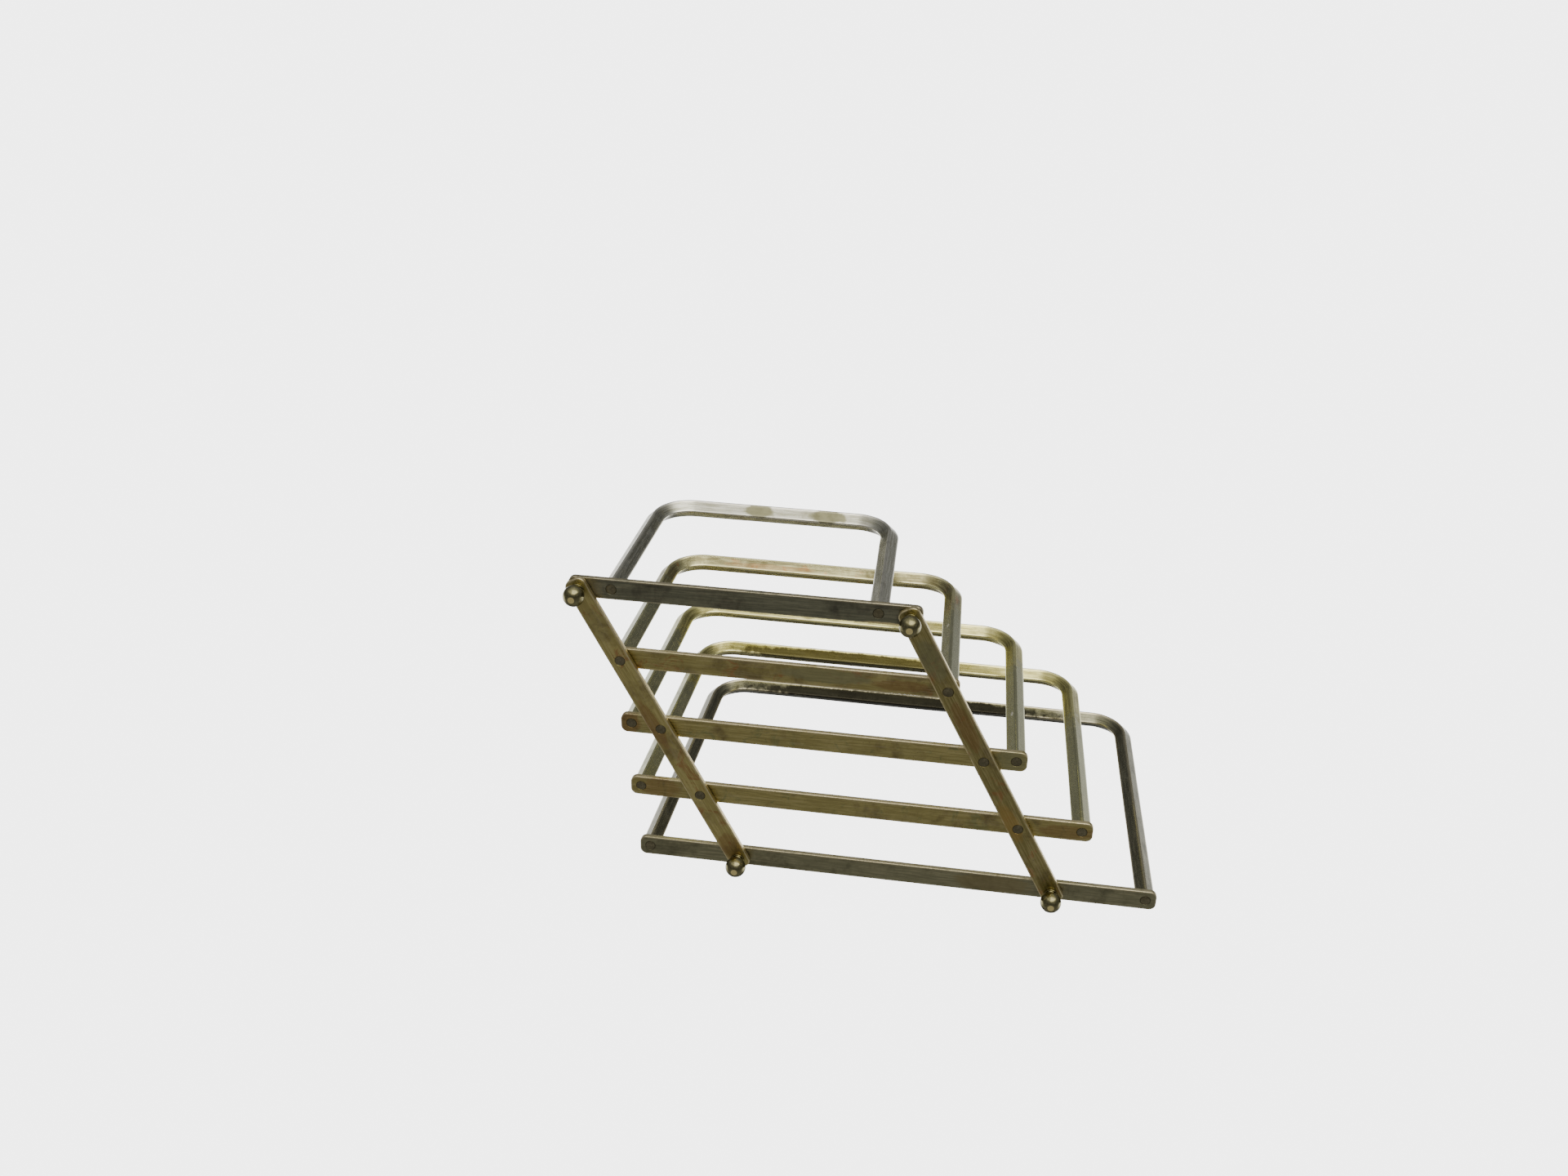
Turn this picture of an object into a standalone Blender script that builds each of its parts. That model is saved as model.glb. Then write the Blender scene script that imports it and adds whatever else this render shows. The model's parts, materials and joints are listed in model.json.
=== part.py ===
"""Folding toast rack in the open position.

Five graduated hoops of square wire, set on edge, stand on five flat bars.
Two flat links cross under the bars and are pivoted to every one of them, so
the rack shears like a lazy parallelogram until the bars lie side by side.
Four ball feet are the pivot pins at the ends of the links.

+Z is up, +X runs along the bars and +Y goes from the smallest hoop (1, at
the front) to the largest (5). The origin is on the table, under the middle.
"""
import math

import bmesh
import bpy
from mathutils import Matrix, Vector

MM = 0.001

# Driving dimensions
STRIP_WIDTH = 6.35 * MM          # flat strip of the bars and links, 1/4 inch
STRIP_THICKNESS = 1.6 * MM       # 1/16 inch
STRIP_END = 3.2 * MM             # strip beyond its last hole's centre
STRIP_CORNER = 2.0 * MM          # radius of a strip's corners, seen flat
STRIP_EDGE = 0.25 * MM           # worn edge of a strip
GAP = 0.3 * MM                   # clearance between neighbouring pieces

PIVOT_SPACING = 95.0 * MM        # from the left link's pivots to the right link's
LINK_PITCH = 25.0 * MM           # from pivot to pivot along a link
LINK_ANGLE = math.radians(62.0)  # of the links to the bars, as the rack stands

WIRE_SIDE = 4.2 * MM             # side of the hoops' square wire
WIRE_EDGE = 0.2 * MM             # half width of the wire's worn corners
HOOP_STEP = 9.3 * MM             # each hoop is wider than the last by twice this
HOOP_HEIGHTS = (60.0 * MM, 66.5 * MM, 76.0 * MM, 89.0 * MM, 100.5 * MM)
HOOP_CORNER = 11.0 * MM          # bend radius at the wire's centre line
LEG_LEAN = math.radians(1.7)     # each leg leans in towards the top

TENON_RADIUS = 1.45 * MM         # hoop ends and pivot shanks, riveted over
SHANK_RADIUS = 1.1 * MM
HEAD_DEPTH = 0.5 * MM            # flush heads, sunk in the link and the bar

BALL_RADIUS = 3.1 * MM
BALL_DROP = 5.8 * MM             # ball's centre below the underside of the bars
TIP_RADIUS = 1.2 * MM            # worn flat that the ball stands on
NECK_RADIUS = 1.5 * MM
COLLAR_RADIUS = 2.1 * MM
COLLAR_DEPTH = 0.7 * MM

CORNER_STEPS = 4                 # segments in a strip's corner
BEND_STEPS = 8                   # segments in a hoop's corner
HOLE_SIDES = 16
TURN_STEPS = 18                  # segments round a turned piece
BALL_STEPS = 8                   # segments down a ball

# Worked out from them
HOOPS = len(HOOP_HEIGHTS)
WIRE_DIAGONAL = WIRE_SIDE * math.sqrt(2.0)
FOOT_HEIGHT = BALL_DROP + math.sqrt(BALL_RADIUS ** 2 - TIP_RADIUS ** 2)
BAR_BOTTOM = FOOT_HEIGHT
BAR_TOP = BAR_BOTTOM + STRIP_THICKNESS
LINK_TOP = BAR_BOTTOM - GAP
LINK_BOTTOM = LINK_TOP - STRIP_THICKNESS
LINK_LENGTH = (HOOPS - 1) * LINK_PITCH

SILVER = (0.33, 0.33, 0.28)
BRASS = (0.31, 0.25, 0.11)
DARK = (0.10, 0.10, 0.075)
BRIGHT = (0.48, 0.40, 0.24)


def strip_reach(angle):
    """How far a strip's end reaches along X past its last hole, at an angle to X."""
    along = (STRIP_END - STRIP_CORNER) * abs(math.cos(angle))
    across = (STRIP_WIDTH / 2 - STRIP_CORNER) * abs(math.sin(angle))
    return along + across + STRIP_CORNER


def leg_offset(index):
    """Distance of a hoop's legs from its middle; hoop 2's legs are on the pivots."""
    return PIVOT_SPACING / 2 + (index - 1) * HOOP_STEP


def row_middle(index):
    """Middle of a bar, where the rack's box has its centre over the origin."""
    half = LINK_LENGTH / 2
    left = -half * math.cos(LINK_ANGLE) - PIVOT_SPACING / 2 - strip_reach(LINK_ANGLE)
    right = half * math.cos(LINK_ANGLE) + leg_offset(HOOPS - 1) + STRIP_END
    along = index * LINK_PITCH - half
    return Vector((along * math.cos(LINK_ANGLE) - (left + right) / 2,
                   along * math.sin(LINK_ANGLE), 0.0))


def pivot(index, side):
    """Pivot of a bar on the left (-1) or right (+1) link."""
    return row_middle(index) + Vector((side * PIVOT_SPACING / 2, 0.0, 0.0))


def clear_scene():
    for item in list(bpy.data.objects):
        bpy.data.objects.remove(item, do_unlink=True)


def make_collection(name):
    group = bpy.data.collections.new(name)
    bpy.context.scene.collection.children.link(group)
    return group


def make_material(name, colour, roughness, metallic=1.0):
    material = bpy.data.materials.new(name)
    material.use_nodes = True
    shader = material.node_tree.nodes["Principled BSDF"]
    shader.inputs["Base Color"].default_value = (*colour, 1.0)
    shader.inputs["Roughness"].default_value = roughness
    shader.inputs["Metallic"].default_value = metallic
    return material


def add_object(name, data, group, material=None):
    item = bpy.data.objects.new(name, data)
    group.objects.link(item)
    if material is not None:
        data.materials.append(material)
    return item


def make_axis(name, place, parent=None):
    """Empty on a joint's axis, which carries the pieces that turn with it."""
    axis = bpy.data.objects.new(name, None)
    axis.empty_display_size = 5 * MM
    rack.objects.link(axis)
    axis.location = place
    if parent is not None:
        axis.parent = parent
        axis.location = place - parent_place(parent)
    return axis


def parent_place(item):
    """World position of an empty that may itself have a parent."""
    place = Vector(item.location)
    while item.parent is not None:
        item = item.parent
        place += Vector(item.location)
    return place


def carry(item, axis, place):
    """Put a piece at a world position, as the child of an empty."""
    item.parent = axis
    item.location = place - parent_place(axis)


def rounded_outline(half_length, half_width, radius):
    points = []
    for quarter, (sx, sy) in enumerate(((1, 1), (-1, 1), (-1, -1), (1, -1))):
        centre = Vector((sx * (half_length - radius), sy * (half_width - radius), 0.0))
        for step in range(CORNER_STEPS + 1):
            turn = (quarter + step / CORNER_STEPS) * math.pi / 2
            points.append(centre + radius * Vector((math.cos(turn), math.sin(turn), 0.0)))
    return points


def curve_to_mesh(name, curve_object):
    """Mesh of a curve object, with its caps welded on; the curve is removed."""
    depsgraph = bpy.context.evaluated_depsgraph_get()
    mesh = bpy.data.meshes.new_from_object(curve_object.evaluated_get(depsgraph))
    mesh.name = name
    work = bmesh.new()
    work.from_mesh(mesh)
    bmesh.ops.remove_doubles(work, verts=work.verts, dist=0.001 * MM)
    bmesh.ops.recalc_face_normals(work, faces=work.faces)
    work.to_mesh(mesh)
    work.free()
    curve = curve_object.data
    bpy.data.objects.remove(curve_object, do_unlink=True)
    bpy.data.curves.remove(curve)
    return mesh


def new_curve(name, dimensions):
    curve = bpy.data.curves.new(name, "CURVE")
    curve.dimensions = dimensions
    curve.render_resolution_u = 0
    return curve


def add_poly(curve, points, closed):
    spline = curve.splines.new("POLY")
    spline.points.add(len(points) - 1)
    for target, point in zip(spline.points, points):
        target.co = (*point, 1.0)
    spline.use_cyclic_u = closed
    return spline


def strip_mesh(name, half_length):
    """Flat strip with rounded corners and worn edges, centred on its own origin."""
    curve = new_curve(name + "_outline", "2D")
    curve.fill_mode = "BOTH"
    curve.extrude = STRIP_THICKNESS / 2 - STRIP_EDGE
    curve.bevel_depth = STRIP_EDGE
    curve.bevel_resolution = 0
    curve.offset = -STRIP_EDGE
    outline = rounded_outline(half_length, STRIP_WIDTH / 2, STRIP_CORNER)
    add_poly(curve, outline, closed=True)
    return curve_to_mesh(name, add_object(name + "_outline", curve, rack))


def cylinder_mesh(name, places, radius, low, high):
    """Upright cylinders, all in one mesh, from height low to height high."""
    work = bmesh.new()
    for place in places:
        centre = Vector((place, 0.0, (low + high) / 2))
        bmesh.ops.create_cone(work, cap_ends=True, segments=HOLE_SIDES, radius1=radius,
                              radius2=radius, depth=high - low,
                              matrix=Matrix.Translation(centre))
    mesh = bpy.data.meshes.new(name)
    work.to_mesh(mesh)
    work.free()
    return mesh


def cut(item, cutter_mesh, label):
    """Cut a piece with a hidden cutter that shares its place."""
    cutter = add_object(f"{item.name}_{label}", cutter_mesh, cutters)
    cutter.parent = item
    cutter.hide_render = True
    cutter.display_type = "WIRE"
    boolean = item.modifiers.new(label, "BOOLEAN")
    boolean.operation = "DIFFERENCE"
    boolean.object = cutter


def drill(item, places, radius, label):
    """Holes right through a strip."""
    reach = STRIP_THICKNESS
    cut(item, cylinder_mesh(f"{item.name}_{label}", places, radius, -reach, reach), label)


def sink(item, places, from_top, label):
    """Flat recesses for flush heads, in a strip's upper or lower face."""
    floor = STRIP_THICKNESS / 2 - HEAD_DEPTH - GAP
    low, high = (floor, STRIP_THICKNESS) if from_top else (-STRIP_THICKNESS, -floor)
    cut(item, cylinder_mesh(f"{item.name}_{label}", places, TENON_RADIUS + GAP, low, high), label)


def make_bar(index, axis):
    """Flat bar under a hoop, with holes for the hoop's tenons and for the pivots."""
    name = f"bar_{index + 1}"
    reach = max(leg_offset(index), PIVOT_SPACING / 2) + STRIP_END
    finish = materials["dark" if index in (0, HOOPS - 1) else "brass"]
    item = add_object(name, strip_mesh(name, reach), rack, finish)
    carry(item, axis, row_middle(index) + Vector((0.0, 0.0, (BAR_BOTTOM + BAR_TOP) / 2)))
    legs = (-leg_offset(index), leg_offset(index))
    drill(item, legs, TENON_RADIUS + GAP, "tenon_holes")
    if index != 1:
        pivots = (-PIVOT_SPACING / 2, PIVOT_SPACING / 2)
        drill(item, pivots, SHANK_RADIUS + GAP, "pivot_holes")
        sink(item, pivots, True, "head_recesses")
    return item


def make_link(side, axis):
    """Flat link across the underside of all the bars."""
    name = "left_link" if side < 0 else "right_link"
    item = add_object(name, strip_mesh(name, LINK_LENGTH / 2 + STRIP_END), rack, materials["brass"])
    middle = (pivot(0, side) + pivot(HOOPS - 1, side)) / 2
    carry(item, axis, middle + Vector((0.0, 0.0, (LINK_BOTTOM + LINK_TOP) / 2)))
    item.rotation_euler.z = LINK_ANGLE
    places = [index * LINK_PITCH - LINK_LENGTH / 2 for index in range(HOOPS)]
    hoop_end = places[1]
    shanks = [place for place in places if place != hoop_end]
    drill(item, (hoop_end,), TENON_RADIUS + GAP, "tenon_hole")
    drill(item, shanks, SHANK_RADIUS + GAP, "pivot_holes")
    sink(item, shanks[1:-1], False, "head_recesses")
    return item


def wire_profile():
    """Square on edge, its four corners worn flat."""
    long, short = WIRE_DIAGONAL / 2 - WIRE_EDGE, WIRE_EDGE
    corners = ((long, -short), (long, short), (short, long), (-short, long),
               (-long, short), (-long, -short), (-short, -long), (short, -long))
    curve = new_curve("wire_profile", "2D")
    curve.fill_mode = "NONE"
    add_poly(curve, [Vector((x, y, 0.0)) for x, y in corners], closed=True)
    profile = add_object("wire_profile", curve, cutters)
    profile.hide_render = True
    profile.display_type = "WIRE"
    return profile


def hoop_path(index):
    """Centre line of a hoop in its own XZ plane, from the left foot to the right."""
    foot = leg_offset(index)
    top = HOOP_HEIGHTS[index] + BAR_BOTTOM
    base = BAR_TOP + GAP
    turn = math.pi / 2 - LEG_LEAN
    corner_x = foot - (top - BAR_BOTTOM) * math.tan(LEG_LEAN)
    tangent = HOOP_CORNER * math.tan(turn / 2)
    centre = Vector((corner_x - tangent, 0.0, top - HOOP_CORNER))
    right = []
    for step in range(BEND_STEPS + 1):
        angle = math.pi / 2 - turn * step / BEND_STEPS
        right.append(centre + HOOP_CORNER * Vector((math.cos(angle), 0.0, math.sin(angle))))
    right.append(Vector((foot - (base - BAR_BOTTOM) * math.tan(LEG_LEAN), 0.0, base)))
    left = [Vector((-point.x, 0.0, point.z)) for point in reversed(right)]
    return left + right


def make_hoop(index, axis, profile):
    """Hoop of square wire; its ends are turned down to round tenons."""
    name = f"hoop_{index + 1}"
    curve = new_curve(name + "_path", "3D")
    curve.bevel_mode = "OBJECT"
    curve.bevel_object = profile
    curve.use_fill_caps = True
    add_poly(curve, hoop_path(index), closed=False)
    mesh = curve_to_mesh(name, add_object(name + "_path", curve, rack))
    item = add_object(name, mesh, rack, materials["silver"])
    carry(item, axis, row_middle(index))
    low = LINK_BOTTOM if index == 1 else BAR_BOTTOM
    legs = (-leg_offset(index), leg_offset(index))
    tenons = add_object(name + "_tenons", cylinder_mesh(
        name + "_tenons", legs, TENON_RADIUS, low, BAR_TOP + 2 * WIRE_SIDE), cutters)
    tenons.parent = item
    tenons.hide_render = True
    tenons.display_type = "WIRE"
    union = item.modifiers.new("tenons", "BOOLEAN")
    union.operation = "UNION"
    union.object = tenons
    return item


def turned_mesh(name, profile):
    """Mesh turned about Z from a profile of (radius, height), top to bottom."""
    mesh = bpy.data.meshes.new(name)
    points = [(radius, 0.0, height) for radius, height in profile]
    mesh.from_pydata(points, [(step, step + 1) for step in range(len(points) - 1)], [])
    return mesh


def turn(item):
    screw = item.modifiers.new("turn", "SCREW")
    screw.axis = "Z"
    screw.steps = TURN_STEPS
    screw.render_steps = TURN_STEPS
    screw.use_merge_vertices = True
    screw.merge_threshold = 0.01 * MM
    screw.use_smooth_shade = True


def make_rivet(index, side, axis):
    """Pivot pin with flush heads in the bar and in the link."""
    name = f"{'left' if side < 0 else 'right'}_pivot_{index + 1}"
    head = TENON_RADIUS
    profile = ((0.0, BAR_TOP), (head, BAR_TOP), (head, BAR_TOP - HEAD_DEPTH),
               (SHANK_RADIUS, BAR_TOP - HEAD_DEPTH), (SHANK_RADIUS, LINK_BOTTOM + HEAD_DEPTH),
               (head, LINK_BOTTOM + HEAD_DEPTH), (head, LINK_BOTTOM), (0.0, LINK_BOTTOM))
    item = add_object(name, turned_mesh(name, profile), rack, materials["dark"])
    carry(item, axis, pivot(index, side))
    turn(item)
    return item


def foot_profile():
    """Flush head, shank, collar, neck and ball with a worn tip."""
    collar_top = LINK_BOTTOM - GAP
    collar_bottom = collar_top - COLLAR_DEPTH
    ball_centre = FOOT_HEIGHT - BALL_DROP
    start = math.asin(NECK_RADIUS / BALL_RADIUS)
    end = math.pi - math.asin(TIP_RADIUS / BALL_RADIUS)
    profile = [(0.0, BAR_TOP), (TENON_RADIUS, BAR_TOP), (TENON_RADIUS, BAR_TOP - HEAD_DEPTH),
               (SHANK_RADIUS, BAR_TOP - HEAD_DEPTH), (SHANK_RADIUS, collar_top),
               (COLLAR_RADIUS, collar_top), (COLLAR_RADIUS, collar_bottom),
               (NECK_RADIUS, collar_bottom)]
    for step in range(BALL_STEPS + 1):
        angle = start + (end - start) * step / BALL_STEPS
        profile.append((BALL_RADIUS * math.sin(angle), ball_centre + BALL_RADIUS * math.cos(angle)))
    profile.append((0.0, profile[-1][1]))
    return profile


def make_foot(index, side, axis):
    """Ball foot, whose shank is the pivot pin at a link's end."""
    name = f"{'front' if index == 0 else 'rear'}_{'left' if side < 0 else 'right'}_foot"
    item = add_object(name, turned_mesh(name, foot_profile()), rack, materials["bright"])
    carry(item, axis, pivot(index, side))
    turn(item)
    return item


clear_scene()
rack = make_collection("toast_rack")
cutters = make_collection("cutters")
materials = {"silver": make_material("worn_silver_plate", SILVER, 0.38),
             "brass": make_material("tarnished_brass", BRASS, 0.45),
             "dark": make_material("dark_tarnish", DARK, 0.5),
             "bright": make_material("polished_brass", BRIGHT, 0.25)}

last = HOOPS - 1
rear_axis = make_axis("rear_frame_axis", row_middle(last))
link_axes = {side: make_axis(name, pivot(last, side), rear_axis)
             for side, name in ((-1, "left_link_axis"), (1, "right_link_axis"))}
frame_axes = [make_axis(f"frame_{index + 1}_axis", pivot(index, -1), link_axes[-1])
              for index in range(last)] + [rear_axis]

wire = wire_profile()
for row in range(HOOPS):
    make_hoop(row, frame_axes[row], wire)
    make_bar(row, frame_axes[row])
for hand in (-1, 1):
    make_link(hand, link_axes[hand])
    for row in (2, 3):
        make_rivet(row, hand, link_axes[hand])
    for row in (0, last):
        make_foot(row, hand, link_axes[hand])
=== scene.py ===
"""Worn silver plate and brass for the folding toast rack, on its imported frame.

The rack stands on its ball feet, while the camera looks up at its underside,
so the floor shows from above only and hides nothing from below.
"""
import json
import math
from collections import namedtuple

import bmesh
import bpy
from mathutils import Matrix, Vector, noise


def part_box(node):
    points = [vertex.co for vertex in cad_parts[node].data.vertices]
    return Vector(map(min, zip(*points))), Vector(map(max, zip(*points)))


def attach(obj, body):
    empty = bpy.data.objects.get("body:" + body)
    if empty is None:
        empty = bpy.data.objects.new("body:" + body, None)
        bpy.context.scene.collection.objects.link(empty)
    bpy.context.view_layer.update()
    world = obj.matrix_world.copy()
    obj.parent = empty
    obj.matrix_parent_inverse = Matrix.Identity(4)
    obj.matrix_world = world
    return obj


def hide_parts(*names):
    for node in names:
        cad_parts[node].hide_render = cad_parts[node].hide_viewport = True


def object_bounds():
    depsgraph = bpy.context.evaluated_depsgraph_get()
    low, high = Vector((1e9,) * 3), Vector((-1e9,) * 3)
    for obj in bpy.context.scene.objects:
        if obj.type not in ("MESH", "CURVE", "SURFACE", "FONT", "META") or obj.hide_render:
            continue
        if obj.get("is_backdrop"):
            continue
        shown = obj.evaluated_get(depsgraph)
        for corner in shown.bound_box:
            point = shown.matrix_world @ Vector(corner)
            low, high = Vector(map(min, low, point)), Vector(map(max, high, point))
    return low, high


MM = 0.001

# The frame's own dimensions, which the visible pieces keep to
STRIP_WIDTH = 6.35 * MM          # flat strip of the bars and links
STRIP_CORNER = 2.0 * MM          # radius of its corners, seen flat
STRIP_EDGE = 0.22 * MM           # radius of its worn edges
STRIP_END = 3.2 * MM             # strip beyond its last hole's centre
WIRE_SIDE = 4.2 * MM             # side of the hoops' square wire
WIRE_BLUNT = 0.2 * MM            # the worn corners stop this far short of the square's
WIRE_CORNER = 0.42 * MM          # radius of the wire's worn corners
HOOP_CORNER = 11.0 * MM          # bend radius at the wire's centre line
HOOP_STEP = 9.3 * MM             # each hoop is wider than the last by twice this
HOOPS = 5
LEG_LEAN = math.radians(1.7)     # each leg leans in towards the top
LEG_FLAT = 0.5 * MM              # a leg's wire is trimmed to the bar up to this height
PIVOT_SPACING = 95.0 * MM        # from the left link's pivots to the right link's
LINK_PITCH = 25.0 * MM           # from pivot to pivot along a link
LINK_ANGLE = math.radians(62.0)

HEAD_RADIUS = 1.45 * MM          # flush heads of rivets, tenons and shanks
HEAD_SEAM = 0.07 * MM            # gap round a head
HEAD_DOME = 0.14 * MM            # how far a head bulges
HEAD_SINK = 0.05 * MM            # its rim lies this far under the strip's face
TENON_RISE = 1.0 * MM            # tenon that goes on inside the wire

BALL_RADIUS = 3.1 * MM
BALL_DROP = 5.8 * MM             # ball's centre below the underside of the bars
TIP_RADIUS = 1.2 * MM            # worn flat that the ball stands on
TIP_BRIGHT = 0.78                # share of the flat that is rubbed bright
TIP_HEIGHT = 0.12 * MM           # faces below this belong to the flat
NECK_RADIUS = 1.5 * MM
COLLAR_RADIUS = 2.1 * MM
COLLAR_DEPTH = 0.7 * MM
COLLAR_ROUND = 0.2 * MM          # how far the collar's rim bulges
COLLAR_GAP = 0.02 * MM           # between the collar and the link
COLLAR_BEVEL = 0.15 * MM
NECK_FLARE = 0.1 * MM            # wider under the collar
NECK_WAIST = 0.05 * MM           # and narrower below

# How finely the shapes are cut up
CORNER_STEPS = 10                # round a strip's corner
EDGE_STEPS = 3                   # across a strip's worn edge
HOLE_STEPS = 32
TURN_STEPS = 48                  # round a rivet
FOOT_STEPS = 64                  # round a ball foot
DOME_STEPS = 6
BALL_STEPS = 24                  # down a ball
TOP_STEPS = 12                   # along half a hoop's top
BEND_STEPS = 16
LEG_STEPS = 20
WIRE_CORNER_STEPS = 4
WIRE_FACE_SHARES = (0.16, 0.5, 0.84)
TIP_RINGS = (0.93, 0.8, 0.5, 0.0)
SMOOTH_ANGLE = math.radians(32.0)

# An old wire wavers a little along its length
WAVER = 0.10 * MM
WAVERS_PER_METRE = 25.0
WAVER_SEED = 5                   # without a seed, noise_vector differs at every launch

# Camera, as the photograph was taken: from under the feet and in front
CAMERA_PLACE = Vector((0.02755, -0.24239, -0.36340))
CAMERA_LOOK = Vector((-0.12605, 0.45640, 0.88080))
CAMERA_UP = Vector((-0.08773, -0.88953, 0.44837))
CAMERA_LENS = 34.8

FLOOR_RADIUS = 9.0
FLOOR_STEPS = 96
FLOOR_GAP = 0.05 * MM            # the floor lies this far under the feet
FLOOR_GLOW = 0.75
WHITE_STRENGTH = 4.5             # of the world as the camera sees it

# How bright the room is to the metal, as (direction along Y, level), behind the rack and in front
ROOM_BEHIND = ((-1.0, 0.7), (-0.6, 0.28), (-0.25, 0.12), (-0.12, 0.17), (0.0, 0.30), (0.10, 0.50),
               (0.19, 1.5), (0.30, 2.4), (0.55, 1.6), (0.75, 0.16), (1.0, 0.12))
ROOM_IN_FRONT = ((-1.0, 0.45), (-0.65, 0.28), (-0.2, 0.14), (0.2, 0.20), (0.5, 0.27), (1.0, 0.30))
ROOM_BLUE = 0.97                 # the room's blue, next to its red and green
FRONT_FADE = (0.35, -0.25)       # direction along Z where the room behind gives way to that in front
CEILING_LIGHT = 3.1              # strength of a lamp in front, which the hoops' tops mirror
CEILING_TINT = (1.0, 0.96, 0.86)
CEILING_ALONG = (-0.62, -0.84)   # direction along Y where the lamp begins and where it is full
CEILING_ACROSS = (-0.30, 0.02)   # the same along X
CEILING_FLOOR = 0.22             # share of the lamp that is left on its dim side

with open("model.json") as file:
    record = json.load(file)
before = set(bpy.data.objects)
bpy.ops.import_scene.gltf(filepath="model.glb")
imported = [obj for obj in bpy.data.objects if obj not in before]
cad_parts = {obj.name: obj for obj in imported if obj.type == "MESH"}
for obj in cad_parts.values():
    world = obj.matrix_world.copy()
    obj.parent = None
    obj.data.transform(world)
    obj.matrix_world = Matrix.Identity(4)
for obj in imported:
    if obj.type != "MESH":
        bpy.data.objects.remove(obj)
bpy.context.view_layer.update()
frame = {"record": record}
bodies = frame["record"]["behaviour"]["bodies"]
body_of_node = {node: body for body, nodes in bodies.items() for node in nodes}

bar_low, bar_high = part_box("bar_3")
BAR_BOTTOM, BAR_TOP = bar_low.z, bar_high.z
LINK_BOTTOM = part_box("left_link")[0].z
STRIP_THICKNESS = BAR_TOP - BAR_BOTTOM


def node_middle(name):
    low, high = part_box(name)
    return (low + high) / 2


# ---------------------------------------------------------------- materials

# A mark on the metal, mostly a stained patch, on hoop 5 a band of painted shade: its middle and reach,
# in millimetres on the piece, its colour, how much of that colour covers the metal, and how much duller it
# is there
StainAndShade = namedtuple("StainAndShade", "centre reach colour share duller", defaults=(0.0,))


class Graph:
    """Small helper to lay out the shader nodes of a material or a world."""

    def __init__(self, owner):
        owner.use_nodes = True
        self.tree = owner.node_tree

    def add(self, kind, feeds=None, **settings):
        """New node, with its settings and what goes into its sockets."""
        node = self.tree.nodes.new(kind)
        for key, value in settings.items():
            setattr(node, key, value)
        for key, value in (feeds or {}).items():
            self.feed(value, node.inputs[key])
        return node

    def feed(self, value, socket):
        """Set a socket from a number, a colour, a vector or another node's output."""
        if isinstance(value, (int, float)):
            socket.default_value = value
        elif isinstance(value, tuple):
            socket.default_value = (*value, 1.0)[:len(socket.default_value)]
        else:
            source = value.outputs[0] if hasattr(value, "outputs") else value
            self.tree.links.new(source, socket)

    def math(self, operation, first, second=0.0, third=0.0, clamp=False):
        feeds = {0: first, 1: second, 2: third}
        return self.add("ShaderNodeMath", feeds, operation=operation, use_clamp=clamp).outputs[0]

    def times(self, first, second):
        return self.math("MULTIPLY", first, second)

    def plus(self, first, second, clamp=False):
        return self.math("ADD", first, second, clamp=clamp)

    def mix(self, factor, first, second):
        """Mix of two colours: sockets 0, 6 and 7 take the factor and the colours."""
        feeds = {0: factor, 6: first, 7: second}
        return self.add("ShaderNodeMix", feeds, data_type="RGBA").outputs[2]

    def ramp(self, value, start, end, floor=0.0):
        """Smooth step from floor at start to 1 at end, which may be the lower of the two."""
        feeds = {"Value": value, "From Min": start, "From Max": end, "To Min": floor}
        return self.add("ShaderNodeMapRange", feeds, interpolation_type="SMOOTHSTEP").outputs["Result"]

    def place(self, stretch=(1.0, 1.0, 1.0), shift=(0.0, 0.0, 0.0), source=None):
        """Coordinates in millimetres on the piece, stretched and shifted."""
        if source is None:
            source = self.add("ShaderNodeTexCoord").outputs["Object"]
        feeds = {"Vector": source, "Scale": tuple(share / MM for share in stretch), "Location": shift}
        return self.add("ShaderNodeMapping", feeds).outputs[0]

    def noise(self, vector, scale, detail=4.0, rough=0.55, warp=0.0):
        feeds = {"Vector": vector, "Scale": scale, "Detail": detail, "Roughness": rough, "Distortion": warp}
        return self.add("ShaderNodeTexNoise", feeds, noise_dimensions="3D").outputs["Fac"]

    def attribute(self, name):
        return self.add("ShaderNodeAttribute", attribute_name=name)

    def split(self, vector):
        return self.add("ShaderNodeSeparateXYZ", {0: vector}).outputs


def edge_of_strip(graph, half_length):
    """Distance into a strip from its outline, in millimetres, from its own coordinates."""
    parts = graph.split(graph.place())
    corner = STRIP_CORNER / MM
    across = []
    for axis, half in ((0, half_length / MM), (1, STRIP_WIDTH / 2 / MM)):
        size = graph.math("ABSOLUTE", parts[axis])
        across.append(graph.math("SUBTRACT", size, half - corner))
    out = [graph.math("MAXIMUM", value, 0.0) for value in across]
    length = graph.math("SQRT", graph.plus(*(graph.times(value, value) for value in out)))
    inner = graph.math("MINIMUM", graph.math("MAXIMUM", *across), 0.0)
    return graph.math("SUBTRACT", corner, graph.plus(length, inner))


def stain_and_shade_mask(graph, stain_and_shade, source, ragged):
    """Soft-edged blob with a ragged outline: 1 inside, 0 outside."""
    stretch = [1.0 / size for size in stain_and_shade.reach]
    shift = tuple(-middle / size for middle, size in zip(stain_and_shade.centre, stain_and_shade.reach))
    place = graph.place(stretch, shift, source)
    far = graph.add("ShaderNodeVectorMath", {0: place}, operation="LENGTH").outputs["Value"]
    return graph.ramp(graph.math("MULTIPLY_ADD", ragged, 0.9, far), 1.60, 1.25)


def no_wear(graph):
    return 0.0


def attribute_wear_and_highlight(name):
    """Rubbed edges and, on the wire, a painted highlight along its corners, as a share stored on the mesh.
    """
    return lambda graph: graph.attribute(name).outputs["Fac"]


def strip_wear(half_length):
    """Rubbed edges within half a millimetre or so of a strip's outline."""
    return lambda graph: graph.ramp(edge_of_strip(graph, half_length), 0.55, 0.12)


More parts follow.
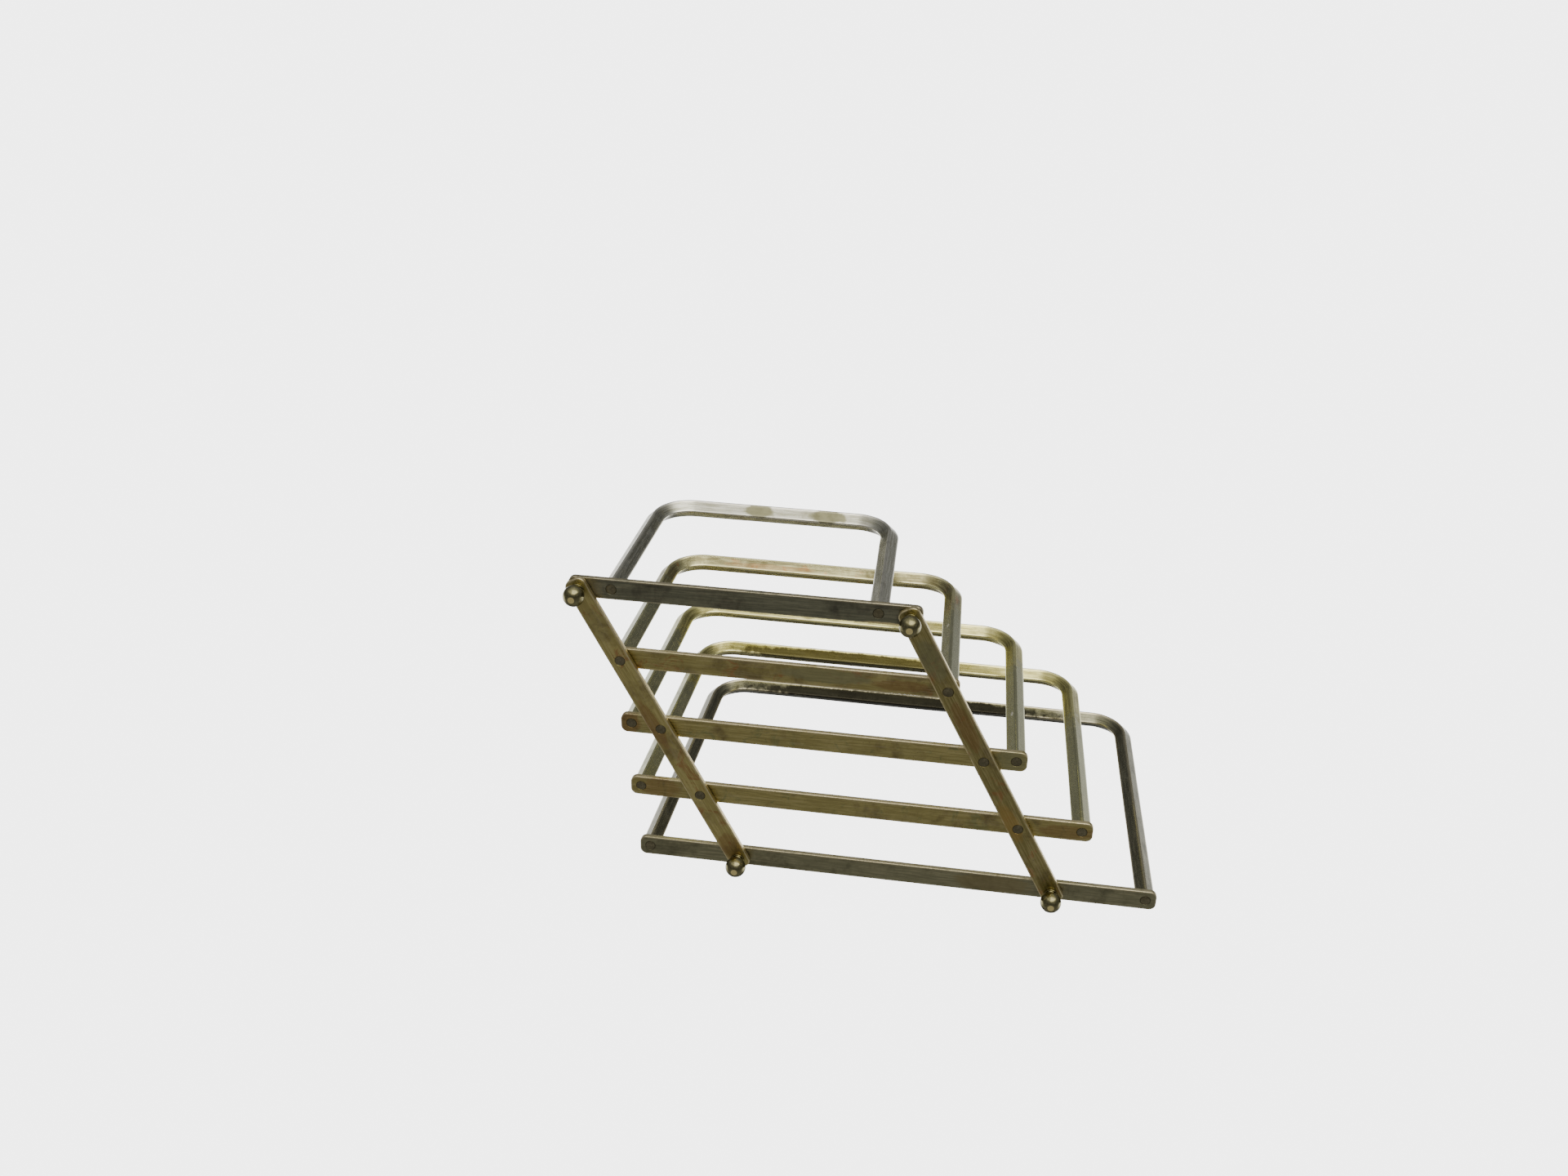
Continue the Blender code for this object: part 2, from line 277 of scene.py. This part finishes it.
def worn_metal(name, base, tarnish, bare, seed, wear=no_wear, along=(1.0, 1.0, 1.0), roughness=0.27,
               patch=0.5, bare_share=0.35, grain=0.35, source=None, warm=None, relief=0.4, stains_and_shade=()):
    """Old plated metal, with patches of tarnish, rubbed edges (on the wire partly a painted highlight along
    its corners), a drawn grain, stained patches and bands of painted shade.

    base, tarnish and bare are the colours of the plate, its dull patches and rubbed metal, and
    warm is that of rusty patches. patch, bare_share and grain say how much of each shows, and
    along is the grain's direction. The function passed for the edges gives the share of rubbed edge,
    on the wire also a painted highlight in the bare colour. source names an attribute to paint by, instead
    of the piece's own coordinates.
    """
    material = bpy.data.materials.new(name)
    graph = Graph(material)
    shader = graph.tree.nodes["Principled BSDF"]
    shift = (seed * 13.7, seed * 5.3, seed * 9.1)
    if source is not None:
        source = graph.attribute(source).outputs["Vector"]
    spot = graph.place(shift=shift, source=source)
    run = graph.place(along, shift, source)
    cloud = graph.noise(spot, scale=0.075, detail=3.0, rough=0.6, warp=0.6)
    mottle = graph.noise(spot, scale=0.42, detail=5.0, rough=0.62, warp=0.3)
    speck = graph.noise(spot, scale=2.3, detail=3.0, rough=0.6)
    streak = graph.noise(run, scale=1.6, detail=4.0, rough=0.7)
    fine = graph.noise(run, scale=6.0, detail=2.0, rough=0.6)

    # Tarnish, rust, grain and freckles
    grimy = graph.math("MULTIPLY_ADD", mottle, 0.22, graph.times(cloud, 0.50))
    grimy = graph.math("MULTIPLY_ADD", streak, 0.28, grimy)
    dirty = graph.ramp(grimy, 0.62 - 0.3 * patch, 0.74 - 0.22 * patch)
    colour = graph.mix(dirty, base, tarnish)
    if warm is not None:
        elsewhere = graph.place(shift=(seed * 3.1, 7.0, seed * 2.3), source=source)
        rusty = graph.ramp(graph.noise(elsewhere, scale=0.16, rough=0.65, warp=1.0), 0.55, 0.68)
        colour = graph.mix(graph.times(rusty, 0.75), colour, warm)
    colour = graph.mix(graph.times(graph.ramp(streak, 0.56, 0.40), grain), colour, tarnish)
    colour = graph.mix(graph.times(graph.ramp(streak, 0.44, 0.70), 0.34), colour, bare)
    freckle = tuple(level * 0.45 for level in tarnish)
    colour = graph.mix(graph.times(graph.ramp(speck, 0.62, 0.74), 0.45), colour, freckle)

    # Rubbed edges, on the wire also a painted highlight along its corners, then stained patches and painted
    # shade over everything
    edge = wear(graph)
    uneven = graph.ramp(graph.plus(mottle, graph.times(cloud, 0.6)), 0.50, 0.86)
    rub_and_highlight = graph.plus(graph.times(edge, uneven), graph.times(edge, bare_share), clamp=True)
    colour = graph.mix(rub_and_highlight, colour, bare)
    duller = 0.0
    for stain_and_shade in stains_and_shade:
        inside = stain_and_shade_mask(graph, stain_and_shade, source, mottle)
        colour = graph.mix(graph.times(inside, stain_and_shade.share), colour, stain_and_shade.colour)
        duller = graph.plus(graph.times(inside, stain_and_shade.duller), duller)

    # Duller where it is dirty, smoother where it is rubbed
    dull = graph.math("MULTIPLY_ADD", mottle, 0.22, roughness - 0.11)
    dull = graph.plus(dull, graph.times(dirty, 0.10))
    dull = graph.math("SUBTRACT", dull, graph.times(rub_and_highlight, 0.10), clamp=True)
    dull = graph.plus(dull, graph.times(graph.ramp(fine, 0.55, 0.8), 0.07))
    dull = graph.plus(dull, duller, clamp=True)

    height = graph.math("MULTIPLY_ADD", fine, 0.05, graph.times(mottle, 0.5))
    height = graph.plus(height, graph.times(streak, 0.22))
    bump = graph.add("ShaderNodeBump", {"Strength": relief, "Distance": 0.05 * MM, "Height": height})
    for socket, value in (("Base Color", colour), ("Roughness", dull), ("Metallic", 1.0), ("Normal", bump)):
        graph.feed(value, shader.inputs[socket])
    return material


# ------------------------------------------------------------------ shapes

def finish_piece(item, node):
    """Stand for a CAD node, and ride with its body."""
    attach(item, body_of_node[node])
    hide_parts(node)
    return item


def place_work(name, work, materials):
    """New object of what a bmesh holds, shaded smooth but for its sharp edges."""
    bmesh.ops.recalc_face_normals(work, faces=work.faces)
    mesh = bpy.data.meshes.new(name)
    work.to_mesh(mesh)
    work.free()
    for material in materials:
        mesh.materials.append(material)
    mesh.polygons.foreach_set("use_smooth", [True] * len(mesh.polygons))
    mesh.set_sharp_from_angle(angle=SMOOTH_ANGLE)
    item = bpy.data.objects.new(name, mesh)
    bpy.context.scene.collection.objects.link(item)
    return item


def on_circle(radius, angle):
    return radius * Vector((math.cos(angle), math.sin(angle)))


def strip_outline(half_length):
    """Outline of a strip, with rounded corners."""
    points = []
    for quarter, (side, end) in enumerate(((1, 1), (-1, 1), (-1, -1), (1, -1))):
        centre = Vector((side * (half_length - STRIP_CORNER), end * (STRIP_WIDTH / 2 - STRIP_CORNER)))
        for step in range(CORNER_STEPS + 1):
            turn = (quarter + step / CORNER_STEPS) * math.pi / 2
            points.append(centre + on_circle(STRIP_CORNER, turn))
    return points


def make_strip(node, half_length, holes, angle, material):
    """Flat strip with rounded edges and drilled holes, made as a filled curve."""
    name = f"{node}_strip"
    curve = bpy.data.curves.new(name + "_outline", "CURVE")
    curve.dimensions = "2D"
    curve.fill_mode = "BOTH"
    curve.extrude = STRIP_THICKNESS / 2 - STRIP_EDGE
    curve.bevel_depth = STRIP_EDGE
    curve.bevel_resolution = EDGE_STEPS
    curve.offset = -STRIP_EDGE
    loops = [strip_outline(half_length)]
    turns = [2 * math.pi * step / HOLE_STEPS for step in range(HOLE_STEPS)]
    for hole in holes:
        loops.append([Vector((hole, 0.0)) + on_circle(HEAD_RADIUS + HEAD_SEAM, turn) for turn in turns])
    for loop in loops:
        spline = curve.splines.new("POLY")
        spline.points.add(len(loop) - 1)
        for target, point in zip(spline.points, loop):
            target.co = (point.x, point.y, 0.0, 1.0)
        spline.use_cyclic_u = True
    maker = bpy.data.objects.new(name + "_outline", curve)
    bpy.context.scene.collection.objects.link(maker)
    mesh = bpy.data.meshes.new_from_object(maker.evaluated_get(bpy.context.evaluated_depsgraph_get()))
    bpy.data.objects.remove(maker, do_unlink=True)
    work = bmesh.new()
    work.from_mesh(mesh)
    bpy.data.meshes.remove(mesh)
    bmesh.ops.remove_doubles(work, verts=work.verts, dist=0.001 * MM)
    item = place_work(name, work, (material,))
    item.matrix_world = Matrix.Translation(node_middle(node)) @ Matrix.Rotation(angle, 4, "Z")
    return finish_piece(item, node)


def turned(work, profile, centre=Vector((0.0, 0.0, 0.0)), steps=TURN_STEPS):
    """Add a shape turned about Z from (radius, height) points, top to bottom."""
    rings = []
    for radius, height in profile:
        count = steps if radius > 0.0 else 1
        ring = []
        for step in range(count):
            spot = on_circle(radius, 2 * math.pi * step / steps)
            ring.append(work.verts.new(centre + Vector((spot.x, spot.y, height))))
        rings.append(ring)
    for upper, lower in zip(rings, rings[1:]):
        for k in range(steps):
            corners = [upper[k % len(upper)], upper[(k + 1) % len(upper)],
                       lower[(k + 1) % len(lower)], lower[k % len(lower)]]
            corners = list(dict.fromkeys(corners))
            if len(corners) > 2:
                work.faces.new(corners)


def dome(top):
    """Profile of a peened head that bulges by a little, as (radius, height) points."""
    turns = [step / DOME_STEPS * math.pi / 2 for step in range(DOME_STEPS + 1)]
    return [(HEAD_RADIUS * math.sin(turn), top - HEAD_SINK + HEAD_DOME * math.cos(turn)) for turn in turns]


def pin_profile(low, high):
    """Pin with a slightly domed head at each end, flush with the strips."""
    upper = dome(high)
    lower = [(radius, low + high - height) for radius, height in reversed(upper)]
    return upper + lower


def wire_section():
    """Square on edge with rounded corners, as (point (out, side), share of rubbed corner and painted
    highlight) round the section.
    """
    reach = WIRE_SIDE * math.sqrt(2) / 2 - WIRE_CORNER * math.sqrt(2)
    section = []
    for quarter in range(4):
        turn = quarter * math.pi / 2
        leave = turn + math.pi / 4
        for step in range(WIRE_CORNER_STEPS + 1):
            angle = turn - math.pi / 4 + step / WIRE_CORNER_STEPS * math.pi / 2
            section.append((on_circle(reach, turn) + on_circle(WIRE_CORNER, angle), 1.0))
        end = on_circle(reach, turn) + on_circle(WIRE_CORNER, leave)
        start = on_circle(reach, turn + math.pi / 2) + on_circle(WIRE_CORNER, leave)
        for share in WIRE_FACE_SHARES:
            section.append((end.lerp(start, share), 0.0))
    return section


def hoop_line(foot, top):
    """Centre line of a hoop in its own XZ plane, as (point, tangent) from left to right."""
    turn = math.pi / 2 - LEG_LEAN
    corner_x = foot - (top - BAR_BOTTOM) * math.tan(LEG_LEAN)
    centre = Vector((corner_x - HOOP_CORNER * math.tan(turn / 2), top - HOOP_CORNER))
    base = Vector((foot - STRIP_THICKNESS * math.tan(LEG_LEAN), BAR_TOP))
    right = []
    for step in range(TOP_STEPS):
        right.append((Vector((centre.x * step / TOP_STEPS, top)), Vector((1.0, 0.0))))
    for step in range(BEND_STEPS + 1):
        angle = math.pi / 2 - turn * step / BEND_STEPS
        right.append((centre + on_circle(HOOP_CORNER, angle), Vector((math.sin(angle), -math.cos(angle)))))
    start, way = right[-1]
    for step in range(1, LEG_STEPS + 1):
        right.append((start.lerp(base, step / LEG_STEPS), way))
    left = [(Vector((-point.x, point.y)), Vector((way.x, -way.y))) for point, way in reversed(right[1:])]
    return left + right


def leg_place(index):
    """Distance of a hoop's legs from the middle of its bar."""
    return PIVOT_SPACING / 2 + (index - 1) * HOOP_STEP


def make_hoop(index, materials):
    """Bent square wire with riveted tenons, in one piece.

    Its vertices carry their share of rubbed corner and painted highlight, and as run their place along the
    wire, from the top's middle, and across its section.
    """
    node = f"hoop_{index + 1}"
    low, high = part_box(node)
    centre = (low + high) / 2
    section = wire_section()
    line = hoop_line(leg_place(index), high.z - WIRE_SIDE * math.sqrt(2) / 2 + WIRE_BLUNT)
    work = bmesh.new()
    wear_and_highlight_layer = work.verts.layers.float.new("wear")
    run_layer = work.verts.layers.float_vector.new("run")
    length = -sum((after[0] - before[0]).length for before, after in zip(line, line[1:])) / 2
    last = line[0][0]
    rings = []
    for point, way in line:
        length += (point - last).length
        last = point
        drift = noise.noise_vector(Vector((length * WAVERS_PER_METRE, index * 3.7, 1.3))) * WAVER
        ring = []
        for (out, side), wear in section:
            place = Vector((point.x - way.y * out, side, point.y + way.x * out)) + drift
            if point.y < BAR_TOP + LEG_FLAT:
                place.z = max(place.z, BAR_TOP)
            vertex = work.verts.new(place + Vector((centre.x, centre.y, 0.0)))
            vertex[wear_and_highlight_layer] = wear
            vertex[run_layer] = Vector((length, out, side))
            ring.append(vertex)
        rings.append(ring)
    count = len(section)
    for first, second in zip(rings, rings[1:]):
        for k in range(count):
            after = (k + 1) % count
            work.faces.new((first[k], first[after], second[after], second[k]))
    work.faces.new(rings[0])
    work.faces.new(list(reversed(rings[-1])))
    wire_faces = len(work.faces)
    tenon_bottom = LINK_BOTTOM if index == 1 else BAR_BOTTOM
    for side in (-1, 1):
        foot = Vector((centre.x + side * leg_place(index), centre.y, 0.0))
        turned(work, pin_profile(tenon_bottom, BAR_TOP + TENON_RISE), foot)
    work.faces.ensure_lookup_table()
    for face in work.faces[wire_faces:]:
        face.material_index = 1
    return finish_piece(place_work(f"{node}_wire", work, materials), node)


def make_rivet(node, material):
    middle = node_middle(node)
    work = bmesh.new()
    turned(work, pin_profile(LINK_BOTTOM, BAR_TOP))
    item = place_work(f"{node}_pin", work, (material,))
    item.location = (middle.x, middle.y, 0.0)
    return finish_piece(item, node)


def foot_profile():
    """Flush head, shank, rounded collar, neck and ball with a worn flat tip."""
    collar_top = LINK_BOTTOM - COLLAR_GAP
    collar_bottom = collar_top - COLLAR_DEPTH
    collar_middle = (collar_top + collar_bottom) / 2
    ball = BAR_BOTTOM - BALL_DROP
    points = dome(BAR_TOP)
    points += [(HEAD_RADIUS, collar_top), (COLLAR_RADIUS - COLLAR_BEVEL, collar_top)]
    for step in range(DOME_STEPS + 1):
        rim = on_circle(1.0, math.pi / 2 - step / DOME_STEPS * math.pi)
        points.append((COLLAR_RADIUS - COLLAR_ROUND * (1.0 - rim.x),
                       collar_middle + COLLAR_DEPTH / 2 * rim.y))
    start = math.asin(NECK_RADIUS / BALL_RADIUS)
    end = math.pi - math.asin(TIP_RADIUS / BALL_RADIUS)
    neck_low = ball + BALL_RADIUS * math.cos(start)
    points.append((NECK_RADIUS + NECK_FLARE, collar_bottom))
    points.append((NECK_RADIUS - NECK_WAIST, (collar_bottom + neck_low) / 2))
    for step in range(BALL_STEPS + 1):
        angle = start + (end - start) * step / BALL_STEPS
        points.append((BALL_RADIUS * math.sin(angle), ball + BALL_RADIUS * math.cos(angle)))
    tip_radius, tip_height = points[-1]
    points += [(tip_radius * share, tip_height) for share in TIP_RINGS]
    return [(radius, max(height, 0.0)) for radius, height in points]


def make_foot(node, materials):
    """Ball foot in three finishes: the ball, the head on top and the bright tip."""
    middle = node_middle(node)
    work = bmesh.new()
    turned(work, foot_profile(), steps=FOOT_STEPS)
    item = place_work(f"{node}_ball", work, materials)
    for polygon in item.data.polygons:
        if polygon.center.z > LINK_BOTTOM:
            polygon.material_index = 1
        elif polygon.center.z < TIP_HEIGHT and polygon.center.xy.length < TIP_BRIGHT * TIP_RADIUS:
            polygon.material_index = 2
    item.location = (middle.x, middle.y, 0.0)
    return finish_piece(item, node)


# ------------------------------------------------------------------ finishes

BRASS = (0.53, 0.46, 0.175)
BRASS_DULL = (0.24, 0.19, 0.085)
BRASS_BARE = (0.80, 0.70, 0.42)
GOLD_BARE = (0.97, 0.92, 0.45)

ORANGE = (0.46, 0.22, 0.085)
RUST = (0.30, 0.13, 0.055)
AMBER = (0.50, 0.33, 0.10)
BROWN = (0.33, 0.27, 0.13)
DEEP_BROWN = (0.062, 0.052, 0.020)
# Near-black painted reflection of hoop 4's shaded back, laid on hoop 5's top
PAINTED_DARK_REFLECTION = (0.018, 0.017, 0.013)
GREEN = (0.30, 0.32, 0.14)
GREY_GREEN = (0.31, 0.31, 0.18)
OLIVE = (0.27, 0.26, 0.15)
STRAW = (0.40, 0.36, 0.22)
RUBBED = (0.88, 0.74, 0.38)
NICK = (0.92, 0.90, 0.82)
LEG_PLATE = (0.44, 0.45, 0.31)   # plate left on the golden hoops' legs

FRONT_FACE = (-1.6, -1.6)        # across the wire, its face towards the feet and the front


def plated_legs(length):
    """Stains that cover both legs of a hoop, from just past its corners down."""
    return [StainAndShade((side * length, 0.0, 0.0), (32.0, 9.0, 9.0), LEG_PLATE, 0.80) for side in (-1, 1)]


HOOP_LOOKS = (
    dict(base=(0.50, 0.50, 0.43), tarnish=(0.30, 0.29, 0.21), bare=(0.86, 0.84, 0.74), patch=0.40,
         stains_and_shade=[StainAndShade((-5.3, *FRONT_FACE), (4.6, 2.2, 2.2), OLIVE, 0.9, 0.22),
                 StainAndShade((16.5, *FRONT_FACE), (5.6, 2.2, 2.2), OLIVE, 0.9, 0.22)]),
    dict(base=(0.47, 0.45, 0.25), tarnish=(0.21, 0.18, 0.085), bare=(0.86, 0.81, 0.46), patch=0.56,
         warm=ORANGE,
         stains_and_shade=[StainAndShade((-14.0, -1.9, -1.2), (16.0, 0.7, 1.6), ORANGE, 0.34, 0.05),
                 *plated_legs(92.0),
                 StainAndShade((72.8, -1.2, -1.8), (0.9, 0.5, 0.5), NICK, 1.0)]),
    dict(base=(0.64, 0.60, 0.25), tarnish=(0.30, 0.27, 0.10), bare=GOLD_BARE, patch=0.45,
         stains_and_shade=[*plated_legs(102.0),
                 StainAndShade((102.7, -1.2, -1.8), (1.1, 0.5, 0.5), NICK, 1.0)]),
    dict(base=(0.60, 0.56, 0.23), tarnish=(0.27, 0.245, 0.095), bare=GOLD_BARE, patch=0.50,
         stains_and_shade=[StainAndShade((-14.0, -1.9, -0.8), (40.0, 2.5, 2.4), DEEP_BROWN, 0.90, 0.05),
                 *plated_legs(118.0)]),
    # Hoop 5: its dark plate is partly tarnish and partly painted shade, and the near-black band on the
    # front of its top is a painted reflection of hoop 4's shaded back
    dict(base=(0.22, 0.22, 0.155), tarnish=(0.13, 0.125, 0.085), bare=(0.50, 0.46, 0.32), patch=0.50,
         stains_and_shade=[StainAndShade((-8.0, -2.2, -1.4), (58.0, 2.4, 2.7), PAINTED_DARK_REFLECTION, 0.93, 0.08)]),
)

BAR_LOOKS = (
    dict(base=(0.27, 0.27, 0.185), tarnish=(0.11, 0.105, 0.078), bare=(0.55, 0.50, 0.34), patch=0.55,
         stains_and_shade=[StainAndShade((40.5, 3.1, -0.4), (7.0, 0.7, 1.4), RUBBED, 1.0, -0.08),
                 StainAndShade((-46.0, 0.0, 0.0), (6.0, 4.0, 2.0), STRAW, 0.5)]),
    dict(base=BRASS, tarnish=BRASS_DULL, bare=BRASS_BARE, patch=0.55, warm=ORANGE,
         stains_and_shade=[StainAndShade((34.0, 0.6, -0.8), (8.0, 1.8, 2.0), RUST, 0.42, 0.04),
                 StainAndShade((12.0, -0.5, -0.8), (13.0, 2.4, 2.0), GREY_GREEN, 0.6, 0.05)]),
    dict(base=BRASS, tarnish=BRASS_DULL, bare=BRASS_BARE, patch=0.45, warm=GREEN,
         stains_and_shade=[StainAndShade((-58.0, 0.0, -0.8), (4.0, 3.5, 2.0), RUST, 0.5, 0.05),
                 StainAndShade((55.0, 0.0, -0.8), (5.0, 3.5, 2.0), GREY_GREEN, 0.6, 0.05)]),
    dict(base=BRASS, tarnish=BRASS_DULL, bare=BRASS_BARE, patch=0.45, warm=GREEN,
         stains_and_shade=[StainAndShade((62.0, 0.5, -0.8), (8.0, 2.4, 2.0), RUST, 0.38, 0.05),
                 StainAndShade((-60.0, 0.0, -0.8), (6.0, 3.5, 2.0), RUST, 0.35, 0.05)]),
    dict(base=(0.35, 0.335, 0.205), tarnish=(0.17, 0.165, 0.10), bare=(0.62, 0.56, 0.36), patch=0.50,
         stains_and_shade=[StainAndShade((30.0, 0.0, -0.8), (12.0, 3.0, 2.0), BROWN, 0.6)]),
)

# Side, seed, tone of its brass, and stains
LINK_LOOKS = (
    ("left", 21, 1.12, [StainAndShade((-38.0, 0.0, -0.8), (5.0, 3.0, 2.0), GREY_GREEN, 0.15, 0.05),
                        StainAndShade((-2.0, 1.2, -0.8), (9.0, 2.0, 2.0), RUST, 0.45, 0.04),
                        StainAndShade((45.0, 0.0, -0.8), (5.0, 3.2, 2.0), RUST, 0.4, 0.05)]),
    ("right", 24, 0.76, [StainAndShade((-13.0, 0.0, -0.8), (9.0, 2.2, 2.0), RUST, 0.38, 0.04),
                         StainAndShade((22.0, 1.0, -0.8), (7.0, 2.2, 2.0), AMBER, 0.6),
                         StainAndShade((-36.0, 0.0, -0.8), (7.0, 3.0, 2.0), GREY_GREEN, 0.5, 0.05)]),
)

# The wire's bright corners are partly rubbed plate and partly a painted highlight along the ridges
WIRE_FINISH = dict(along=(0.07, 1.2, 1.2), source="run", wear=attribute_wear_and_highlight("wear"), bare_share=0.40,
                   grain=0.75, roughness=0.24, relief=0.10)
STRIP_FINISH = dict(along=(0.06, 1.2, 1.0), bare_share=0.18, roughness=0.42)


# ------------------------------------------------------- floor, light, camera

def make_floor():
    """Pale floor under the feet. It shows from above only, so that the underside can be looked at."""
    material = bpy.data.materials.new("pale_floor")
    graph = Graph(material)
    shader = graph.tree.nodes["Principled BSDF"]
    grain = graph.noise(graph.place(), scale=0.05)
    tone = graph.mix(graph.times(grain, 0.25), (0.86, 0.855, 0.84), (0.78, 0.775, 0.765))
    for socket, value in (("Base Color", tone), ("Roughness", 0.75),
                          ("Emission Color", tone), ("Emission Strength", FLOOR_GLOW)):
        graph.feed(value, shader.inputs[socket])
    from_below = graph.add("ShaderNodeNewGeometry").outputs["Backfacing"]
    clear = graph.add("ShaderNodeBsdfTransparent")
    choose = graph.add("ShaderNodeMixShader", {0: from_below, 1: shader, 2: clear})
    graph.feed(choose, graph.tree.nodes["Material Output"].inputs["Surface"])
    work = bmesh.new()
    bmesh.ops.create_circle(work, cap_ends=True, segments=FLOOR_STEPS, radius=FLOOR_RADIUS)
    mesh = bpy.data.meshes.new("floor")
    work.to_mesh(mesh)
    work.free()
    mesh.materials.append(material)
    floor = bpy.data.objects.new("floor", mesh)
    bpy.context.scene.collection.objects.link(floor)
    floor.location.z = -FLOOR_GAP
    floor.visible_shadow = False
    floor.visible_glossy = False
    floor.visible_diffuse = False
    floor.visible_transmission = False
    floor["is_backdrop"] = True


def room_level(graph, along, levels):
    """Brightness of the room, from stops of (direction, level)."""
    ramp = graph.add("ShaderNodeValToRGB", {"Fac": along})
    stops = ramp.color_ramp.elements
    while len(stops) < len(levels):
        stops.new(0.5)
    for stop, (position, level) in zip(stops, levels):
        stop.position = (position + 1.0) / 2
        stop.color = (level, level, level * ROOM_BLUE, 1.0)
    return ramp.outputs["Color"]


def make_world():
    """White to the eye. The metal mirrors a white table behind the rack, a dimmer room and a lamp."""
    world = bpy.data.worlds.new("studio")
    graph = Graph(world)
    graph.tree.nodes.clear()
    way = graph.split(graph.add("ShaderNodeTexCoord").outputs["Generated"])
    along = graph.math("MULTIPLY_ADD", way["Y"], 0.5, 0.5)
    in_front = graph.ramp(way["Z"], *FRONT_FADE)
    behind, before = (room_level(graph, along, levels) for levels in (ROOM_BEHIND, ROOM_IN_FRONT))
    level = graph.mix(in_front, behind, before)
    room = graph.add("ShaderNodeBackground", {"Color": level})
    lamp = graph.times(in_front, graph.ramp(way["Y"], *CEILING_ALONG))
    lamp = graph.times(lamp, graph.ramp(way["X"], *CEILING_ACROSS, floor=CEILING_FLOOR))
    lamp = graph.times(lamp, CEILING_LIGHT)
    ceiling = graph.add("ShaderNodeBackground", {"Color": CEILING_TINT, "Strength": lamp})
    lit = graph.add("ShaderNodeAddShader", {0: ceiling, 1: room})
    white = graph.add("ShaderNodeBackground", {"Color": (1.0, 1.0, 1.0), "Strength": WHITE_STRENGTH})
    seen = graph.add("ShaderNodeLightPath").outputs["Is Camera Ray"]
    choose = graph.add("ShaderNodeMixShader", {0: seen, 1: lit, 2: white})
    graph.add("ShaderNodeOutputWorld", {"Surface": choose})
    bpy.context.scene.world = world


def make_light(name, place, target, size, power):
    """Soft disc of light on the floor. The metal mirrors the world instead."""
    light = bpy.data.lights.new(name, "AREA")
    light.shape = "DISK"
    light.size = size
    light.energy = power
    item = bpy.data.objects.new(name, light)
    bpy.context.scene.collection.objects.link(item)
    item.location = place
    item.rotation_euler = (target - place).to_track_quat("-Z", "Y").to_euler()
    item.visible_glossy = False
    item.visible_camera = False


def make_camera():
    camera = bpy.data.cameras.new("camera")
    camera.sensor_width = 36.0
    camera.lens = CAMERA_LENS
    camera.clip_start = 0.01
    camera.clip_end = 20.0
    item = bpy.data.objects.new("camera", camera)
    bpy.context.scene.collection.objects.link(item)
    back = -CAMERA_LOOK.normalized()
    right = CAMERA_UP.cross(back).normalized()
    up = back.cross(right)
    item.matrix_world = Matrix.Translation(CAMERA_PLACE) @ Matrix((right, up, back)).transposed().to_4x4()
    bpy.context.scene.camera = item


# ------------------------------------------------------------------ the rack

rivet_metal = worn_metal("rivet_heads", (0.25, 0.225, 0.14), (0.13, 0.115, 0.07), (0.5, 0.44, 0.28), 3,
                         roughness=0.46)
ball_metal = worn_metal("ball_brass", (0.27, 0.25, 0.13), (0.14, 0.13, 0.07), (0.62, 0.56, 0.32), 5,
                        roughness=0.15, patch=0.25)
tip_metal = worn_metal("ball_tip", (1.0, 0.84, 0.38), (0.85, 0.70, 0.32), (1.0, 0.92, 0.55), 7,
                       roughness=0.42, patch=0.2)

noise.seed_set(WAVER_SEED)
for row, looks in enumerate(HOOP_LOOKS):
    metal = worn_metal(f"hoop_{row + 1}_plate", seed=row + 1, **WIRE_FINISH, **looks)
    make_hoop(row, (metal, rivet_metal))

for row, looks in enumerate(BAR_LOOKS):
    node = f"bar_{row + 1}"
    low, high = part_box(node)
    half_bar = (high.x - low.x) / 2
    leg, pivot = leg_place(row), PIVOT_SPACING / 2
    metal = worn_metal(f"{node}_metal", seed=11 + row, wear=strip_wear(half_bar), **STRIP_FINISH, **looks)
    make_strip(node, half_bar, sorted({-leg, leg, -pivot, pivot}), 0.0, metal)

half_link = 2 * LINK_PITCH + STRIP_END
for side, seed, tone, stains_and_shade in LINK_LOOKS:
    node = f"{side}_link"
    base, dull = (tuple(tone * level for level in colour) for colour in (BRASS, BRASS_DULL))
    metal = worn_metal(f"{node}_metal", base, dull, BRASS_BARE, seed, wear=strip_wear(half_link),
                       warm=ORANGE, stains_and_shade=stains_and_shade, **STRIP_FINISH)
    make_strip(node, half_link, [(row - 2) * LINK_PITCH for row in range(HOOPS)], LINK_ANGLE, metal)
    for row in (3, 4):
        make_rivet(f"{side}_pivot_{row}", rivet_metal)
    for end in ("front", "rear"):
        make_foot(f"{end}_{side}_foot", (ball_metal, rivet_metal, tip_metal))

make_floor()
make_world()
make_light("upper_light", place=Vector((-0.35, 0.60, 0.75)), target=Vector((0.0, 0.0, 0.05)),
           size=1.20, power=7.0)
make_camera()

low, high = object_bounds()
